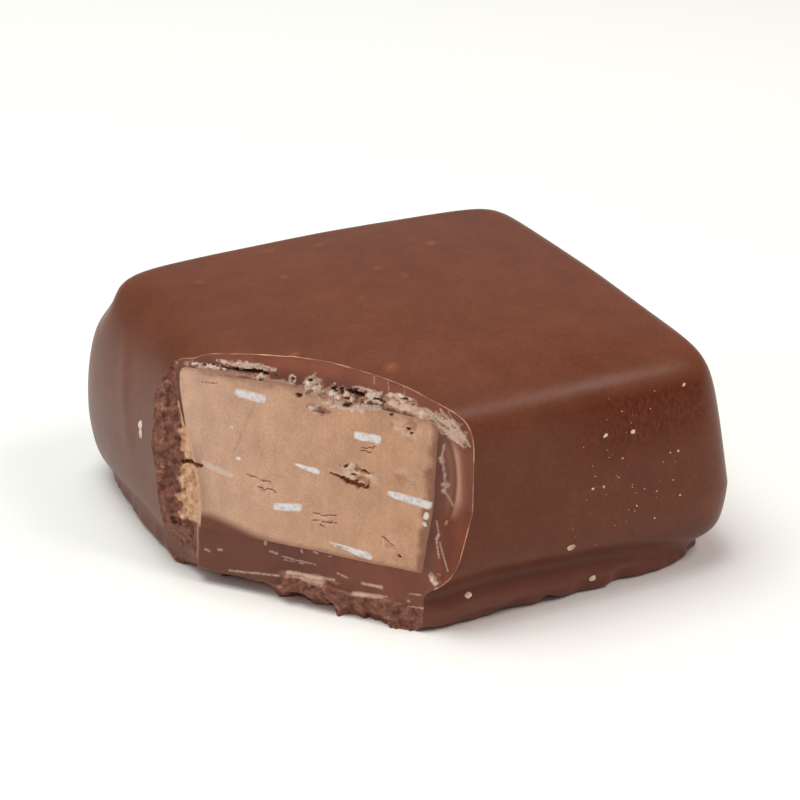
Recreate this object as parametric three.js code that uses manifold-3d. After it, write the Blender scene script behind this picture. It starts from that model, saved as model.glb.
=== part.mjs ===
// Nougat bite: a square, chocolate-coated slab of nougat with one upright corner cut away,
// so that the filling and the thickness of the coat show. Millimetres, +Z up, base on z = 0.

import * as THREE from "three";
import { mergeVertices } from "three/addons/utils/BufferGeometryUtils.js";
import Module from "manifold-3d";

const solids = await Module();
solids.setup();

// Outer form of the coat
const LENGTH = 31.2; // along X, at the belly
const WIDTH = 29.45; // along Y, at the belly
const SIDE_TOP = 13.44; // height where the shoulder meets the top
const DOME = 1.41; // rise of the top in the middle
const OUTLINE_POWER = 10.2; // squareness of the outline seen from above
const SHOULDER_SQUARENESS = 3.4; // how much squarer the outline is at the shoulder
const TOP_SOFTENING = 0.6; // share of the squareness lost from the shoulder to the middle of the top
const BELLY_HEIGHT = 4.65; // height of the widest point
const SHOULDER_FLATNESS = 2.65; // how level the side arrives at the top
const UNDERCUT = 0.75; // how far the side draws in below the belly
const UNDERCUT_POWER = 1.8;
const WAVE = 0.06; // unevenness of the poured coat
// The sides, in the order front (-Y), right, back, left: how far each leans in from the belly to the top,
// how far its shoulder comes in beyond that, and how late the shoulder turns
const SIDES = [
  { lean: 1.09, reach: 6.0, lateness: 12.6 },
  { lean: 1.44, reach: 2.5, lateness: 4.8 },
  { lean: 0.3, reach: 3.6, lateness: 2.0 },
  { lean: 0.06, reach: 4.16, lateness: 2.06 },
];

// Foot: the coat that ran down and set on the tray, below a crease
const CREASE_HEIGHT = 2.1;
const CREASE_AT_CORNER = 0.7;
const CREASE_DEPTH = 0.36;
const CREASE_WIDTH = 0.55;
const LIP_HEIGHT = 0.4;
const LIP_ROUNDING = 0.3;

// Filling: a slab of nougat inside the coat
const COAT_ROUND = 1.65; // thickness of the coat at the foot of the slab's sides
const COAT_BELOW = 3.4;
const COAT_ABOVE = 2.15;
const SLAB_LOWER_EDGE = 0.3;
const SLAB_UPPER_EDGE = 0.75;
const SLAB_SHIFT = [-0.35, 0.12]; // the slab does not lie quite in the middle of the coat
const SLAB_DRAFT = 0.055; // inward lean of the slab's sides, mm per mm of height
const SLAB_GAP = 0.15; // clearance between slab and coat

// Cut corner: a knife cut facing -X -Y that leans outward at the top
const CUT_HEADING = THREE.MathUtils.degToRad(41);
const CUT_LEAN = THREE.MathUtils.degToRad(9.4);
const CUT_DISTANCE = 12.79; // from the upright axis to the cut, on the base
const CUT_HALF_WIDTH = 15;
const CUT_LOW = -1.5;
const CUT_HIGH = 16.5;
const CUT_STEP = 0.4;
const CUT_REACH = 25;
// Sideways wander of the knife near the top edge: place across the cut, width, depth
const WANDER = [
  [-5.9, 1.05, -0.16],
  [-0.5, 2.8, 0.36],
  [7.0, 2.4, -0.29],
];
const LEFT_TURN_IN = 0.55;
const TWIST = 0.2; // twist of the cut towards its right edge, mm per mm of height
const TWIST_MIDDLE = 6.3;
const TWIST_TOP = 7.5;

// Parts of the cut face that broke instead of being cut
const BREAK_STEP = 0.35; // step down from the cut into the broken left edge
const BREAK_SLOPE = 0.06;
const BREAK_SLOPE_LOW = 0.6;
const CHIP_DEPTH = 1.5; // chipped underside at the left of the cut
const TOOTH_DEPTH = 0.6; // ragged lower edge
const TOOTH_PITCH = 2.1;
const HOLLOW_DEPTH = 0.4; // long bubble in the right-hand coat
const HOLLOW_HEIGHT = 9.5;
const HOLLOW_LENGTH = 5.4;
const HOLLOW_WIDTH = 1.1;

// White slivers in the nougat: middle across and up the cut, length, thickness, turn in degrees
const SLIVERS = [
  [-4.48, 11.84, 2.0, 0.55, -6],
  [2.75, 10.7, 1.67, 0.52, 2],
  [-0.74, 8.25, 1.63, 0.45, -8],
  [-6.37, 7.15, 1.9, 0.36, -13],
  [-1.86, 5.73, 1.83, 0.52, 10],
  [5.35, 7.64, 2.5, 0.55, -6],
  [2.11, 4.05, 2.7, 0.42, -7],
];
const SLIVER_PROUD = 0.15;
const SLIVER_SUNK = 0.6;

// Slits torn in the nougat: middle across and up the cut, length, opening, depth, turn in degrees
const SLITS = [
  [1.69, 8.0, 2.3, 0.5, 0.7, -9],
  [0.47, 5.52, 1.4, 0.36, 0.45, 4],
  [-3.7, 7.07, 1.3, 0.34, 0.45, -11],
  [4.36, 4.96, 0.9, 0.34, 0.45, -26],
];

function smoothRamp(from, to, value) {
  const t = THREE.MathUtils.clamp((value - from) / (to - from), 0, 1);
  return t * t * (3 - 2 * t);
}

function bump(value, middle, width) {
  return Math.exp(-(((value - middle) / width) ** 2));
}

// Solid from the vertices and triangles of a closed geometry
function solidOf(geometry) {
  geometry.deleteAttribute("normal");
  geometry.deleteAttribute("uv");
  const joined = mergeVertices(geometry, 1e-4);
  const mesh = new solids.Mesh({
    numProp: 3,
    vertProperties: new Float32Array(joined.getAttribute("position").array),
    triVerts: new Uint32Array(joined.getIndex().array),
  });
  return new solids.Manifold(mesh);
}

function meshOf(solid, name, material) {
  const result = solid.getMesh();
  const geometry = new THREE.BufferGeometry();
  geometry.setAttribute("position", new THREE.Float32BufferAttribute(result.vertProperties, 3));
  geometry.setIndex(new THREE.Uint32BufferAttribute(result.triVerts, 1));
  geometry.computeVertexNormals();
  const mesh = new THREE.Mesh(geometry, material);
  mesh.name = name;
  return mesh;
}

function geometryFrom(points, triangles) {
  const geometry = new THREE.BufferGeometry();
  geometry.setAttribute("position", new THREE.Float32BufferAttribute(points.flat(), 3));
  geometry.setIndex(triangles.flat());
  return geometry;
}

// The foot is strongest on the -Y side and weakest on the +Y side
function footStrength(angle) {
  return 0.7 - 0.3 * Math.sin(angle) + 0.1 * Math.cos(angle);
}

// The crease sits high along the sides and runs down to the tray at the corners
function creaseHeight(angle) {
  const corner = Math.sin(2 * angle) ** 6;
  const alongSide = CREASE_HEIGHT * footStrength(angle) + 0.2 * Math.sin(7 * angle + 1);
  return THREE.MathUtils.lerp(alongSide, CREASE_AT_CORNER, corner);
}

// How far the foot and the belly stand in from the widest outline at a height and a direction
function sideInset(z, angle) {
  const wave = WAVE * Math.sin(3 * angle + 0.4 * z) * Math.sin(5 * angle + 1.3);
  const drop = Math.max(BELLY_HEIGHT - z, 0) / BELLY_HEIGHT;
  const lip = Math.max(1 - z / LIP_HEIGHT, 0) ** 2;
  const crease = CREASE_DEPTH * footStrength(angle) * bump(z, creaseHeight(angle), CREASE_WIDTH);
  return UNDERCUT * drop ** UNDERCUT_POWER + crease + LIP_ROUNDING * lip + wave;
}

// How much of the outline in one direction belongs to each of the four sides
function sideShares(angle) {
  const alongX = Math.cos(angle) ** 4;
  const alongY = Math.sin(angle) ** 4;
  const front = Math.sin(angle) < 0 ? alongY : 0;
  const right = Math.cos(angle) >= 0 ? alongX : 0;
  return [front, right, alongY - front, alongX - right].map((share) => share / (alongX + alongY));
}

// How far the side has come in at a share of the way up from the belly to the top
function shoulderInset(rise, angle) {
  const shares = sideShares(angle);
  return SIDES.reduce((inset, { lean, reach, lateness }, side) => {
    const turned = 1 - Math.max(1 - rise ** lateness, 0) ** (1 / SHOULDER_FLATNESS);
    return inset + shares[side] * (lean * rise + reach * turned);
  }, 0);
}

// Point of the squarish outline that stands in by an inset, in one direction
function outlinePoint(inset, angle, power = OUTLINE_POWER) {
  const across = Math.abs(Math.cos(angle)) ** power + Math.abs(Math.sin(angle)) ** power;
  const reach = across ** (-1 / power);
  const x = (LENGTH / 2 - inset) * reach * Math.cos(angle);
  const y = (WIDTH / 2 - inset) * reach * Math.sin(angle);
  return [x, y];
}

function domeRise(x, y) {
  const alongX = 1 - (x / (LENGTH / 2)) ** 2;
  const alongY = 1 - (y / (WIDTH / 2)) ** 2;
  return DOME * alongX * alongY;
}

// Directions round the outline, closer together at the corners
function directions(count) {
  return Array.from({ length: count }, (_, i) => {
    const even = (2 * Math.PI * i) / count;
    return even + 0.15 * Math.sin(4 * even);
  });
}

// Closed solid through a stack of rings of points, from the lowest ring to the highest
function stackedRings(rings, lowMiddle, highMiddle) {
  const around = rings[0].length;
  const points = rings.flat();
  const triangles = [];
  for (let ring = 0; ring + 1 < rings.length; ring += 1) {
    for (let i = 0; i < around; i += 1) {
      const a = ring * around + i;
      const b = ring * around + ((i + 1) % around);
      triangles.push([a, b, b + around], [a, b + around, a + around]);
    }
  }
  const low = points.push(lowMiddle) - 1;
  const high = points.push(highMiddle) - 1;
  const lastRing = (rings.length - 1) * around;
  for (let i = 0; i < around; i += 1) {
    const next = (i + 1) % around;
    triangles.push([low, next, i], [lastRing + i, lastRing + next, high]);
  }
  return solidOf(geometryFrom(points, triangles));
}

// Outer form, from the lip on the tray up over the shoulder to the middle of the top
function outerForm() {
  const sideHeights = [0, 0.2, 0.5, 0.9, 1.3, 1.7, 2.1, 2.5, 3.0, 3.6, BELLY_HEIGHT];
  const shoulderSteps = 11;
  const topSteps = 4;
  const innermost = 13.6;
  const angles = directions(96);

  const rings = sideHeights.map((z) => {
    return angles.map((angle) => [...outlinePoint(sideInset(z, angle), angle), z]);
  });
  for (let step = 1; step <= shoulderSteps; step += 1) {
    const rise = 1 - (1 - step / shoulderSteps) ** 2.6;
    const height = BELLY_HEIGHT + (SIDE_TOP - BELLY_HEIGHT) * rise;
    const power = OUTLINE_POWER + SHOULDER_SQUARENESS * rise ** 5;
    rings.push(
      angles.map((angle) => {
        const [x, y] = outlinePoint(sideInset(height, angle) + shoulderInset(rise, angle), angle, power);
        return [x, y, height + domeRise(x, y) * rise];
      }),
    );
  }
  for (let step = 1; step <= topSteps; step += 1) {
    const inward = step / topSteps;
    const power = (OUTLINE_POWER + SHOULDER_SQUARENESS) * (1 - TOP_SOFTENING * inward);
    rings.push(
      angles.map((angle) => {
        const shoulder = sideInset(SIDE_TOP, angle) + shoulderInset(1, angle);
        const [x, y] = outlinePoint(THREE.MathUtils.lerp(shoulder, innermost, inward), angle, power);
        return [x, y, SIDE_TOP + domeRise(x, y)];
      }),
    );
  }
  return stackedRings(rings, [0, 0, 0], [0, 0, SIDE_TOP + DOME]);
}

// Slab of filling with leaning sides and rounded edges, drawn in by a gap on all its faces
function slab(gap) {
  const low = COAT_BELOW + gap;
  const high = SIDE_TOP + DOME - COAT_ABOVE - gap;
  const edgeSteps = 3;
  const levels = [];
  for (let step = 0; step <= edgeSteps; step += 1) {
    const turn = (step / edgeSteps) * (Math.PI / 2);
    levels.push([SLAB_LOWER_EDGE * (1 - Math.sin(turn)), low + SLAB_LOWER_EDGE * (1 - Math.cos(turn))]);
  }
  for (let step = 0; step <= edgeSteps; step += 1) {
    const turn = (step / edgeSteps) * (Math.PI / 2);
    levels.push([SLAB_UPPER_EDGE * (1 - Math.cos(turn)), high - SLAB_UPPER_EDGE * (1 - Math.sin(turn))]);
  }
  const angles = directions(64);
  const rings = levels.map(([rounding, z]) => {
    const inset = COAT_ROUND + gap + SLAB_DRAFT * (z - low) + rounding;
    return angles.map((angle) => {
      const [x, y] = outlinePoint(inset, angle);
      return [x + SLAB_SHIFT[0], y + SLAB_SHIFT[1], z];
    });
  });
  return stackedRings(rings, [0, 0, low], [0, 0, high]);
}

// Frame of the cut: x across it to the right, y up it, z out of the body
function cutFrame() {
  const heading = new THREE.Vector3(Math.cos(CUT_HEADING), Math.sin(CUT_HEADING), 0);
  const right = new THREE.Vector3(Math.sin(CUT_HEADING), -Math.cos(CUT_HEADING), 0);
  const up = heading.clone().multiplyScalar(Math.sin(CUT_LEAN));
  up.z = Math.cos(CUT_LEAN);
  const out = right.clone().cross(up);
  const frame = new THREE.Matrix4().makeBasis(right, up, out);
  return frame.setPosition(heading.multiplyScalar(-CUT_DISTANCE));
}

// Where the clean cut ends and the broken left edge begins, at a height up the cut
function breakEdge(v) {
  return -7.3 - 1.9 * smoothRamp(7, 13, v);
}

// Depth of the cut face into the body, at u across and v up the cut
function cutDepth(u, v) {
  let wander = LEFT_TURN_IN * smoothRamp(-7.8, -9.4, u);
  for (const [middle, width, depth] of WANDER) wander += depth * bump(u, middle, width);
  wander *= smoothRamp(6, 14, v);
  const twist = TWIST * (Math.min(v, TWIST_TOP) - TWIST_MIDDLE) * smoothRamp(6, 9, u);

  const intoBreak = breakEdge(v) - u;
  const slope = THREE.MathUtils.lerp(BREAK_SLOPE, BREAK_SLOPE_LOW, smoothRamp(5, 1.5, v));
  const broken = smoothRamp(0, 0.5, intoBreak) * (BREAK_STEP + slope * Math.max(intoBreak, 0));

  const chip = CHIP_DEPTH * smoothRamp(1.3, 0.2, v) * smoothRamp(2, -4, u);
  const wideTooth = Math.sin((2 * Math.PI * u) / TOOTH_PITCH + Math.sin(1.5 * u));
  const narrowTooth = Math.sin((3.3 * Math.PI * u) / TOOTH_PITCH + 2);
  const tooth = 0.5 + 0.3 * wideTooth + 0.2 * narrowTooth;
  const teeth = TOOTH_DEPTH * tooth * smoothRamp(1.0, 0.2, v);

  const alongHollow = (v - HOLLOW_HEIGHT) / (HOLLOW_LENGTH / 2);
  const hollowMiddle = 8.1 - 0.1 * (v - HOLLOW_HEIGHT);
  const acrossHollow = (u - hollowMiddle) / (HOLLOW_WIDTH / 2);
  const hollow = HOLLOW_DEPTH * Math.max(1 - alongHollow ** 2 - acrossHollow ** 2, 0);
  return wander + twist + broken + chip + teeth + hollow;
}

// The body in front of the cut face, as one block to take away
function cutAway(frame) {
  const columns = Math.round((2 * CUT_HALF_WIDTH) / CUT_STEP);
  const rows = Math.round((CUT_HIGH - CUT_LOW) / CUT_STEP);
  const sheet = (columns + 1) * (rows + 1);
  const points = [];
  for (const far of [false, true]) {
    for (let row = 0; row <= rows; row += 1) {
      for (let column = 0; column <= columns; column += 1) {
        const u = -CUT_HALF_WIDTH + column * CUT_STEP;
        const v = CUT_LOW + row * CUT_STEP;
        points.push([u, v, far ? CUT_REACH : -cutDepth(u, v)]);
      }
    }
  }
  const triangles = [];
  for (let row = 0; row < rows; row += 1) {
    for (let column = 0; column < columns; column += 1) {
      const a = row * (columns + 1) + column;
      const b = a + 1;
      const c = b + columns + 1;
      const d = a + columns + 1;
      triangles.push([a, c, b], [a, d, c]);
      triangles.push([a + sheet, b + sheet, c + sheet], [a + sheet, c + sheet, d + sheet]);
    }
  }
  const rim = [];
  for (let column = 0; column < columns; column += 1) rim.push(column);
  for (let row = 0; row < rows; row += 1) rim.push(row * (columns + 1) + columns);
  for (let column = columns; column > 0; column -= 1) rim.push(rows * (columns + 1) + column);
  for (let row = rows; row > 0; row -= 1) rim.push(row * (columns + 1));
  rim.forEach((a, i) => {
    const b = rim[(i + 1) % rim.length];
    triangles.push([a, b, b + sheet], [a, b + sheet, a + sheet]);
  });
  return solidOf(geometryFrom(points, triangles).applyMatrix4(frame));
}

// A flat sliver with pointed ends, lying in the cut face and standing a little proud of it
function sliver(frame, [u, v, length, thickness, turn]) {
  const half = length / 2;
  const outline = new THREE.Shape();
  outline.moveTo(-half, -0.15 * thickness);
  outline.lineTo(-0.6 * half, -0.5 * thickness);
  outline.lineTo(0.8 * half, -0.45 * thickness);
  outline.lineTo(half, 0.1 * thickness);
  outline.lineTo(0.7 * half, 0.5 * thickness);
  outline.lineTo(-0.75 * half, 0.45 * thickness);
  outline.closePath();
  const depth = SLIVER_PROUD + SLIVER_SUNK;
  const form = new THREE.ExtrudeGeometry(outline, { depth, bevelEnabled: false });
  form.translate(0, 0, -SLIVER_SUNK - cutDepth(u, v));
  form.applyMatrix4(new THREE.Matrix4().makeRotationZ(THREE.MathUtils.degToRad(turn)));
  form.applyMatrix4(new THREE.Matrix4().makeTranslation(u, v, 0));
  return solidOf(form.applyMatrix4(frame));
}

// A lens-shaped slit to take out of the cut face
function slit(frame, [u, v, length, opening, depth, turn]) {
  const form = new THREE.SphereGeometry(0.5, 12, 8);
  form.scale(length, opening, 2 * depth);
  form.applyMatrix4(new THREE.Matrix4().makeRotationZ(THREE.MathUtils.degToRad(turn)));
  form.applyMatrix4(new THREE.Matrix4().makeTranslation(u, v, -cutDepth(u, v)));
  return solidOf(form.applyMatrix4(frame));
}

const frame = cutFrame();
const corner = cutAway(frame);

const coatSolid = outerForm().subtract(slab(0)).subtract(corner);
let fillingSolid = slab(SLAB_GAP).subtract(corner);
for (const place of SLITS) fillingSolid = fillingSolid.subtract(slit(frame, place));
for (const place of SLIVERS) fillingSolid = fillingSolid.add(sliver(frame, place));

const milkChocolate = new THREE.MeshStandardMaterial({ color: 0x6b3f30, roughness: 0.45, metalness: 0 });
const nougat = new THREE.MeshStandardMaterial({ color: 0xc0957b, roughness: 0.8, metalness: 0 });

const bite = new THREE.Group();
bite.name = "nougat_bite";
bite.add(meshOf(coatSolid, "chocolate_coating", milkChocolate));
bite.add(meshOf(fillingSolid, "nougat_filling", nougat));

export default bite;
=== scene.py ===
# A nougat bite: a slab of nougat in a milk chocolate coat, with one corner cut away.

import math

import bmesh
import bpy
import numpy as np
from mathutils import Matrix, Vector
from mathutils.bvhtree import BVHTree


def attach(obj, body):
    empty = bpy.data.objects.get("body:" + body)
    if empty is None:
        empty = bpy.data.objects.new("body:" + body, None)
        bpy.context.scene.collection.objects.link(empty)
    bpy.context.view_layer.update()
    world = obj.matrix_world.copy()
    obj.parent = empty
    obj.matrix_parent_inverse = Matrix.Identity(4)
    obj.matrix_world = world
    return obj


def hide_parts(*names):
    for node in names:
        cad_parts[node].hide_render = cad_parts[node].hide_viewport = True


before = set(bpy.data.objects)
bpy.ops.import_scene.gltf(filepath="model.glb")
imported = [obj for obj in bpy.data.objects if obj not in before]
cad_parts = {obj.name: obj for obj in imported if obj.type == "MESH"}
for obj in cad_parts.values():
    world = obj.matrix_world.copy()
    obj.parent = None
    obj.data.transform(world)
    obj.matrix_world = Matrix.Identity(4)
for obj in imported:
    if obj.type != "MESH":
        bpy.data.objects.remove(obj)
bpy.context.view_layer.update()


# Nougat slab
#
# A block of chocolate nougat, rolled flat and cut to size, a little narrower at the top than at the foot.
# It is coated whole, and the corner is cut off afterwards with a knife: the blade leaves the nougat smooth
# and smeared, and where it dragged, the nougat tore open in slits and crumbs.

# Sizes are in millimetres, turns in degrees
MM = 0.001
LENGTH = 31.2
WIDTH = 29.45
OUTLINE_POWER = 10.2
SLAB_BASE = 3.4
SLAB_TOP = 12.7
SLAB_INSET = 1.63
SLAB_SHIFT = (-0.35, 0.12)
SLAB_DRAFT = 0.055
SLAB_SAG = 0.45
SLAB_LOWER_EDGE = 0.18
SLAB_UPPER_EDGE = 0.7
SLAB_CORNER_POWER = 6.0
SLAB_SEGMENTS = 320
SLAB_GRID = 0.05

CUT_HEADING = math.radians(41)
CUT_LEAN = math.radians(9.4)
CUT_DISTANCE = 12.79

# The knife's cut, in its own frame: u across it to the right, v up it, and out of the body
RIGHT = np.array([math.sin(CUT_HEADING), -math.cos(CUT_HEADING), 0.0])
UP = np.array([
    math.cos(CUT_HEADING) * math.sin(CUT_LEAN),
    math.sin(CUT_HEADING) * math.sin(CUT_LEAN),
    math.cos(CUT_LEAN),
])
OUT = np.cross(RIGHT, UP)
CUT_ORIGIN = -CUT_DISTANCE * np.array([math.cos(CUT_HEADING), math.sin(CUT_HEADING), 0.0])


def ramp(start, end, value):
    """Smooth step from 0 at start to 1 at end."""
    part = np.clip((value - start) / (end - start), 0, 1)
    return part * part * (3 - 2 * part)


LUMP_TABLE = 128
LUMP_SHIFT = (37.7, 41.3)
LUMP_WEIGHT = 0.84


def lumps(across, up, size, seed, octaves=3):
    """Smooth random field from about -1 to 1, with lumps of the given size and finer ones on them."""
    field = 0
    weight = LUMP_WEIGHT
    for octave in range(octaves):
        table = np.random.default_rng(seed + octave).uniform(-1, 1, (LUMP_TABLE, LUMP_TABLE))
        x = np.asarray(across) / size + LUMP_SHIFT[0]
        y = np.asarray(up) / size + LUMP_SHIFT[1]
        column = np.floor(x).astype(int)
        row = np.floor(y).astype(int)
        part_x = ramp(0, 1, x - column)
        part_y = ramp(0, 1, y - row)
        next_column = (column + 1) % LUMP_TABLE
        next_row = (row + 1) % LUMP_TABLE
        column, row = column % LUMP_TABLE, row % LUMP_TABLE
        low = table[row, column] * (1 - part_x) + table[row, next_column] * part_x
        high = table[next_row, column] * (1 - part_x) + table[next_row, next_column] * part_x
        field = field + weight * (low * (1 - part_y) + high * part_y)
        weight *= 0.5
        size *= 0.5
    return field


CORNER_CROWDING = 0.15


def directions(count):
    """Angles round the outline, closer together at the corners."""
    even = np.arange(count) * 2 * math.pi / count
    return even + CORNER_CROWDING * np.sin(4 * even)


def outline(inset, angle, power=OUTLINE_POWER):
    """Squarish outline that stands in from the widest one by an inset, as x and y."""
    reach = (np.abs(np.cos(angle)) ** power + np.abs(np.sin(angle)) ** power) ** (-1 / power)
    return (LENGTH / 2 - inset) * reach * np.cos(angle), (WIDTH / 2 - inset) * reach * np.sin(angle)


def placed(name, data):
    """New object in the scene for a mesh, a lamp or a camera."""
    made = bpy.data.objects.new(name, data)
    bpy.context.scene.collection.objects.link(made)
    return made


def mesh_object(name, points, faces):
    """New object from points in millimetres."""
    mesh = bpy.data.meshes.new(name)
    mesh.from_pydata((np.asarray(points) * MM).tolist(), [], faces)
    return placed(name, mesh)


def ring_stack(name, rings):
    """Closed solid through rings of points, lowest first, with a middle point under and over them."""
    count = len(rings[0])
    points = np.concatenate(rings)
    first = np.arange(count)
    following = (first + 1) % count
    faces = []
    for ring in range(len(rings) - 1):
        low = ring * count
        high = low + count
        faces += np.stack([low + first, low + following, high + following, high + first], axis=1).tolist()
    last = (len(rings) - 1) * count
    under = len(points)
    over = under + 1
    faces += np.stack([np.full(count, under), following, first], axis=1).tolist()
    faces += np.stack([last + first, last + following, np.full(count, over)], axis=1).tolist()
    points = np.concatenate([points, [rings[0].mean(axis=0), rings[-1].mean(axis=0)]])
    return mesh_object(name, points, faces)


def slab_rings():
    """Rings of the slab's solid: rounded lower edge, slightly drafted side, rounder upper edge."""
    low, high = SLAB_LOWER_EDGE, SLAB_UPPER_EDGE
    turns = np.linspace(0, math.pi / 2, 7)
    levels = [(low * (1 - math.sin(t)), SLAB_BASE + low * (1 - math.cos(t))) for t in turns]
    levels += [(0.0, z) for z in np.linspace(SLAB_BASE + low, SLAB_TOP - high, 12)[1:-1]]
    levels += [(high * (1 - math.cos(t)), SLAB_TOP - high + high * math.sin(t)) for t in turns]
    angle = directions(SLAB_SEGMENTS)
    # The edges in front are crisper than the others
    softness = 0.45 + 0.55 * ramp(-0.9, -0.5, np.sin(angle))
    rings = []
    for rounding, z in levels:
        uneven = 0.06 * lumps(angle * 15, z + 0 * angle, 1.6, 5)
        inset = SLAB_INSET + SLAB_DRAFT * (z - SLAB_BASE) + softness * rounding + uneven
        x, y = outline(inset, angle, SLAB_CORNER_POWER)
        sag = SLAB_SAG * ramp(-5, 3, x * RIGHT[0] + y * RIGHT[1]) * ramp(7, 12, z)
        rolled = 0.06 * lumps(x, y, 2.2, 9)
        rings.append(np.stack([x + SLAB_SHIFT[0], y + SLAB_SHIFT[1], z + rolled - sag], axis=1))
    return rings


def strongest(spots, u, v, rough=0.35, grain=0.22, weighted=False):
    """Largest share of any of several ragged ellipses: middle, half length, half height, turn in degrees.

    If weighted, a spot's share is multiplied by the number that follows its turn.
    """
    ragged = rough * lumps(u, v, grain, 21)
    largest = 0
    for middle_u, middle_v, half_u, half_v, turn, *weight in spots:
        cos, sin = math.cos(math.radians(turn)), math.sin(math.radians(turn))
        along = (u - middle_u) * cos + (v - middle_v) * sin
        across = (v - middle_v) * cos - (u - middle_u) * sin
        share = ramp(1.15, 0.75, np.hypot(along / half_u, across / half_v) + ragged)
        largest = np.maximum(largest, weight[0] * share if weighted else share)
    return largest


def strongest_line(lines, u, v, rough=0.5, grain=0.3):
    """Largest share of any of several thin ragged lines: from u, v, to u, v, half width."""
    ragged = rough * lumps(u, v, grain, 33)
    share = 0
    for from_u, from_v, to_u, to_v, half in lines:
        run_u, run_v = to_u - from_u, to_v - from_v
        part = np.clip(((u - from_u) * run_u + (v - from_v) * run_v) / (run_u**2 + run_v**2), 0, 1)
        distance = np.hypot(u - from_u - part * run_u, v - from_v - part * run_v)
        share = np.maximum(share, ramp(1.4, 0.6, distance / half + ragged))
    return share


# Sideways wander of the knife near the top edge: place across the cut, width, depth
WANDER = [(-5.9, 1.05, -0.16), (-0.5, 2.8, 0.36), (7.0, 2.4, -0.29)]
# At the left end it also turned in, and on the right it twisted about a middle height
LEFT_TURN_IN = 0.55
TWIST = 0.2
TWIST_MIDDLE = 6.3
TWIST_TOP = 7.5

# Slits torn in the nougat and under the top coat: u, v, half length, half height, turn, depth
SLITS = [
    (1.2, 8.12, 0.75, 0.09, -10, 0.18), (2.05, 7.92, 0.74, 0.19, -9, 0.3),
    (1.52, 8.8, 0.1, 0.08, 40, 0.16), (2.72, 8.72, 0.22, 0.05, -25, 0.16),
    (2.1, 8.42, 0.16, 0.05, 10, 0.14), (3.15, 10.25, 0.09, 0.05, 0, 0.15),
    (5.18, 11.7, 0.16, 0.07, -20, 0.22), (5.4, 11.48, 0.1, 0.08, 0, 0.25),
    (4.12, 12.3, 0.16, 0.06, 0, 0.22), (5.11, 4.18, 0.17, 0.05, -25, 0.15),
    (-1.61, 12.3, 0.2, 0.15, -20, 0.28), (1.32, 12.24, 0.22, 0.1, -10, 0.32),
    (-4.45, 13.28, 0.95, 0.11, 1, 0.34), (-7.89, 13.04, 0.11, 0.05, 0, 0.22),
    (-7.38, 13.17, 0.13, 0.05, 0, 0.22), (-6.55, 13.3, 0.66, 0.035, -2, 0.2),
    (-2.07, 13.17, 0.07, 0.13, 0, 0.2), (1.62, 13.08, 0.62, 0.1, -8, 0.28),
    (0.45, 12.98, 0.2, 0.07, -10, 0.22), (3.25, 12.97, 0.36, 0.07, -8, 0.2),
    (-0.95, 13.28, 0.13, 0.07, 10, 0.2), (4.83, 13.36, 0.22, 0.06, 0, 0.15),
    (-8.05, 7.15, 0.66, 0.15, 0, 0.3),
]
SLIT_RAGGEDNESS = (0.55, 0.18)
# Hair cracks in the nougat: from u, v, to u, v, half width
CRACKS = [
    (-0.21, 5.68, 1.15, 5.78, 0.024), (-0.26, 5.27, 0.15, 5.3, 0.024), (0.35, 5.36, 1.2, 5.34, 0.024),
    (0.2, 5.05, 0.8, 5.0, 0.018), (-4.46, 7.21, -3.03, 6.94, 0.022), (-3.69, 6.55, -2.61, 6.5, 0.026),
    (3.99, 5.15, 4.73, 4.78, 0.028), (2.31, 9.81, 2.99, 9.82, 0.022), (2.45, 10.02, 3.1, 10.05, 0.016),
    (-7.48, 12.09, -6.52, 12.25, 0.02),
]
# Where the top coat and the nougat under it tore into crumbs: u, v, half length, half height, turn, relief
TORN = [
    (-0.7, 12.98, 0.58, 0.56, -20, 0.2), (1.0, 12.82, 1.3, 0.4, -6, 0.22),
    (2.6, 13.1, 0.95, 0.36, -4, 0.2), (4.6, 13.33, 1.1, 0.2, -2, 0.12),
    (-0.4, 11.72, 0.62, 0.28, -8, 0.14), (0.9, 12.3, 1.6, 0.3, -3, 0.1),
    (-4.65, 13.56, 1.4, 0.24, -1, 0.14), (-3.9, 13.08, 0.36, 0.22, 0, 0.14),
    (-7.2, 13.14, 1.15, 0.17, 6, 0.1), (-2.07, 13.17, 0.21, 0.28, 0, 0.14),
    (7.3, 3.4, 0.28, 0.36, 20, 0.14), (5.3, 12.8, 1.55, 0.24, -8, 0.07),
]
# Where the blade only roughened the nougat: u, v, half length, half height, turn, relief
ROUGHENED = [
    (2.3, 8.5, 1.15, 0.45, -14, 0.09), (5.15, 8.85, 0.6, 0.5, -20, 0.03), (0.45, 5.4, 0.9, 0.4, 0, 0.03),
    (-3.3, 6.8, 0.8, 0.4, -15, 0.03), (4.4, 4.75, 0.6, 0.45, -25, 0.03),
    (5.0, 11.75, 1.1, 0.55, -15, 0.05),
]
# Lumps on the rim of the break and teeth at the foot: u, v, half length, half height, turn
RIM_LUMPS = [
    (-10.12, 11.23, 0.28, 0.4, 80), (-10.2, 10.0, 0.25, 0.5, 0), (-9.97, 8.14, 0.3, 0.45, 0),
    (-10.0, 6.6, 0.22, 0.4, 0), (1.93, 0.35, 0.35, 0.4, 0), (0.6, 0.6, 0.3, 0.3, 0),
    (4.9, 0.35, 0.6, 0.25, 0), (-2.1, 0.9, 0.5, 0.22, 0), (7.74, 6.71, 0.12, 0.16, 0),
    (7.56, 3.5, 0.28, 0.2, 0),
]
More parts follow.
